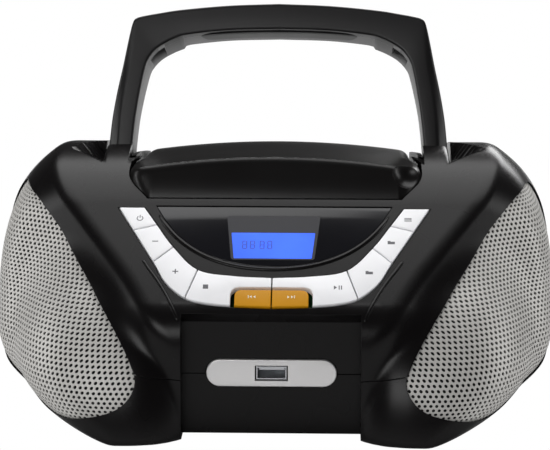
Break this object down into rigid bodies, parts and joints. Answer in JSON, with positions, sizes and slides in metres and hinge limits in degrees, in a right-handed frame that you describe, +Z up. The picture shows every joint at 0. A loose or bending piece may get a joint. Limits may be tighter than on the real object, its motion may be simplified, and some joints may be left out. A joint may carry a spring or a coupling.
{
  "type": "boombox",
  "caption": "Portable disc and radio boombox: rounded speaker pods, sloped key panel with a display window, hinged disc lid, USB socket and folding carry handle.",
  "frame": {"origin": "on the ground, under the middle of the whole object's box", "axes": "+X to the object's right seen from the front, +Y to the back, +Z up; the front faces -Y"},
  "size_m": [0.2572, 0.2232, 0.1781],
  "materials": {
    "gloss_black": "gloss black",
    "satin_black": "satin black",
    "handle_grey": "warm dark grey, fine sheen",
    "grille_silver": "satin silver",
    "button_white": "silver white lacquer",
    "button_amber": "amber lacquer",
    "plate_silver": "satin silver",
    "lens_smoke": "smoked, polished",
    "lcd_blue": "backlit blue",
    "steel": "bright steel",
    "chrome": "polished",
    "rubber": "matt black",
    "cone_paper": "coated paper, modelled as plastic",
    "ferrite": "dark ferrite",
    "board_green": "green laminate",
    "white_plastic": "natural white",
    "transformer_iron": "laminated iron"
  },
  "bodies": {
    "chassis": {"upper_cabinet": "gloss_black", "lower_cabinet": "gloss_black", "left_speaker_grille": "grille_silver", "right_speaker_grille": "grille_silver", "left_handle_pin": "steel", "right_handle_pin": "steel", "left_lid_pin": "steel", "right_lid_pin": "steel", "display_lens": "lens_smoke", "lcd_module": "lcd_blue", "key_board": "board_green", "usb_plate": "plate_silver", "usb_socket": "steel", "battery_tray": "satin_black", "battery_spring_1": "chrome", "battery_spring_2": "chrome", "battery_spring_3": "chrome", "foot_front_left": "rubber", "foot_front_right": "rubber", "foot_rear_left": "rubber", "foot_rear_right": "rubber", "ac_inlet": "satin_black", "aux_jack": "satin_black", "left_speaker_basket": "steel", "left_speaker_cone": "cone_paper", "left_speaker_magnet": "ferrite", "right_speaker_basket": "steel", "right_speaker_cone": "cone_paper", "right_speaker_magnet": "ferrite", "cd_deck": "satin_black", "spindle_motor": "steel", "left_sled_rail": "chrome", "right_sled_rail": "chrome", "main_board": "board_green", "power_transformer": "transformer_iron"},
    "handle": {"handle_frame": "handle_grey", "handle_grip_cover": "satin_black"},
    "lid": {"cd_lid": "gloss_black", "lid_liner": "satin_black"},
    "clamp": {"disc_clamp": "white_plastic"},
    "spindle": {"spindle_hub": "white_plastic"},
    "sled": {"pickup_sled": "satin_black", "pickup_lens": "lens_smoke"},
    "gear": {"sled_gear": "white_plastic"},
    "battery_cover": {"battery_door": "satin_black"},
    "aerial": {"antenna_swivel": "satin_black", "antenna_tube": "chrome"},
    "aerial_middle": {"antenna_middle_tube": "chrome"},
    "aerial_tip": {"antenna_tip": "chrome", "antenna_knob": "chrome"},
    "key_power": {"button_power": "button_white"},
    "key_volume_down": {"button_volume_down": "button_white"},
    "key_volume_up": {"button_volume_up": "button_white"},
    "key_stop": {"button_stop": "button_white"},
    "key_play": {"button_play": "button_white"},
    "key_folder_down": {"button_folder_down": "button_white"},
    "key_folder_up": {"button_folder_up": "button_white"},
    "key_mode": {"button_mode": "button_white"},
    "key_tune_down": {"button_tune_down": "button_amber"},
    "key_tune_up": {"button_tune_up": "button_amber"}
  },
  "joints": [
    {"name": "handle_swing", "type": "hinge", "parent": "chassis", "child": "handle", "pos_m": [0, 0.01623, 0.098], "axis": [-1, 0, 0], "range_deg": [0, 70]},
    {"name": "lid_hinge", "type": "hinge", "parent": "chassis", "child": "lid", "pos_m": [0, 0.07423, 0.091], "axis": [-1, 0, 0], "range_deg": [0, 32]},
    {"name": "clamp_spin", "type": "hinge", "parent": "lid", "child": "clamp", "pos_m": [0, 0.01823, 0.095], "axis": [0, 0, 1], "continuous": true},
    {"name": "spindle_spin", "type": "hinge", "parent": "chassis", "child": "spindle", "pos_m": [0, 0.01823, 0.083], "axis": [0, 0, 1], "continuous": true},
    {"name": "sled_slide", "type": "slide", "parent": "chassis", "child": "sled", "axis": [0, -1, 0], "range_m": [0, 0.024]},
    {"name": "sled_gear_spin", "type": "hinge", "parent": "chassis", "child": "gear", "pos_m": [0.022, -0.02177, 0.0735], "axis": [0, 0, 1], "range_deg": [0, 285]},
    {"name": "battery_door_slide", "type": "slide", "parent": "chassis", "child": "battery_cover", "axis": [0, 1, 0], "range_m": [0, 0.092]},
    {"name": "antenna_swing", "type": "hinge", "parent": "chassis", "child": "aerial", "pos_m": [0.082, 0.10823, 0.06], "axis": [0, 1, 0], "range_deg": [0, 180]},
    {"name": "antenna_middle_slide", "type": "slide", "parent": "aerial", "child": "aerial_middle", "axis": [-1, 0, 0], "range_m": [0, 0.125]},
    {"name": "antenna_tip_slide", "type": "slide", "parent": "aerial_middle", "child": "aerial_tip", "axis": [-1, 0, 0], "range_m": [0, 0.13]},
    {"name": "power_press", "type": "slide", "parent": "chassis", "child": "key_power", "axis": [0, 0.613, -0.7901], "range_m": [0, 0.001], "stiffness_N_per_m": 400},
    {"name": "volume_down_press", "type": "slide", "parent": "chassis", "child": "key_volume_down", "axis": [0, 0.613, -0.7901], "range_m": [0, 0.001], "stiffness_N_per_m": 400},
    {"name": "volume_up_press", "type": "slide", "parent": "chassis", "child": "key_volume_up", "axis": [0, 0.613, -0.7901], "range_m": [0, 0.001], "stiffness_N_per_m": 400},
    {"name": "stop_press", "type": "slide", "parent": "chassis", "child": "key_stop", "axis": [0, 0.613, -0.7901], "range_m": [0, 0.001], "stiffness_N_per_m": 400},
    {"name": "play_press", "type": "slide", "parent": "chassis", "child": "key_play", "axis": [0, 0.613, -0.7901], "range_m": [0, 0.001], "stiffness_N_per_m": 400},
    {"name": "folder_down_press", "type": "slide", "parent": "chassis", "child": "key_folder_down", "axis": [0, 0.613, -0.7901], "range_m": [0, 0.001], "stiffness_N_per_m": 400},
    {"name": "folder_up_press", "type": "slide", "parent": "chassis", "child": "key_folder_up", "axis": [0, 0.613, -0.7901], "range_m": [0, 0.001], "stiffness_N_per_m": 400},
    {"name": "mode_press", "type": "slide", "parent": "chassis", "child": "key_mode", "axis": [0, 0.613, -0.7901], "range_m": [0, 0.001], "stiffness_N_per_m": 400},
    {"name": "tune_down_press", "type": "slide", "parent": "chassis", "child": "key_tune_down", "axis": [0, 0.613, -0.7901], "range_m": [0, 0.001], "stiffness_N_per_m": 400},
    {"name": "tune_up_press", "type": "slide", "parent": "chassis", "child": "key_tune_up", "axis": [0, 0.613, -0.7901], "range_m": [0, 0.001], "stiffness_N_per_m": 400}
  ],
  "couplings": [
    {"joint": "sled_gear_spin", "follows": "sled_slide", "rad_per_m": 204}
  ]
}
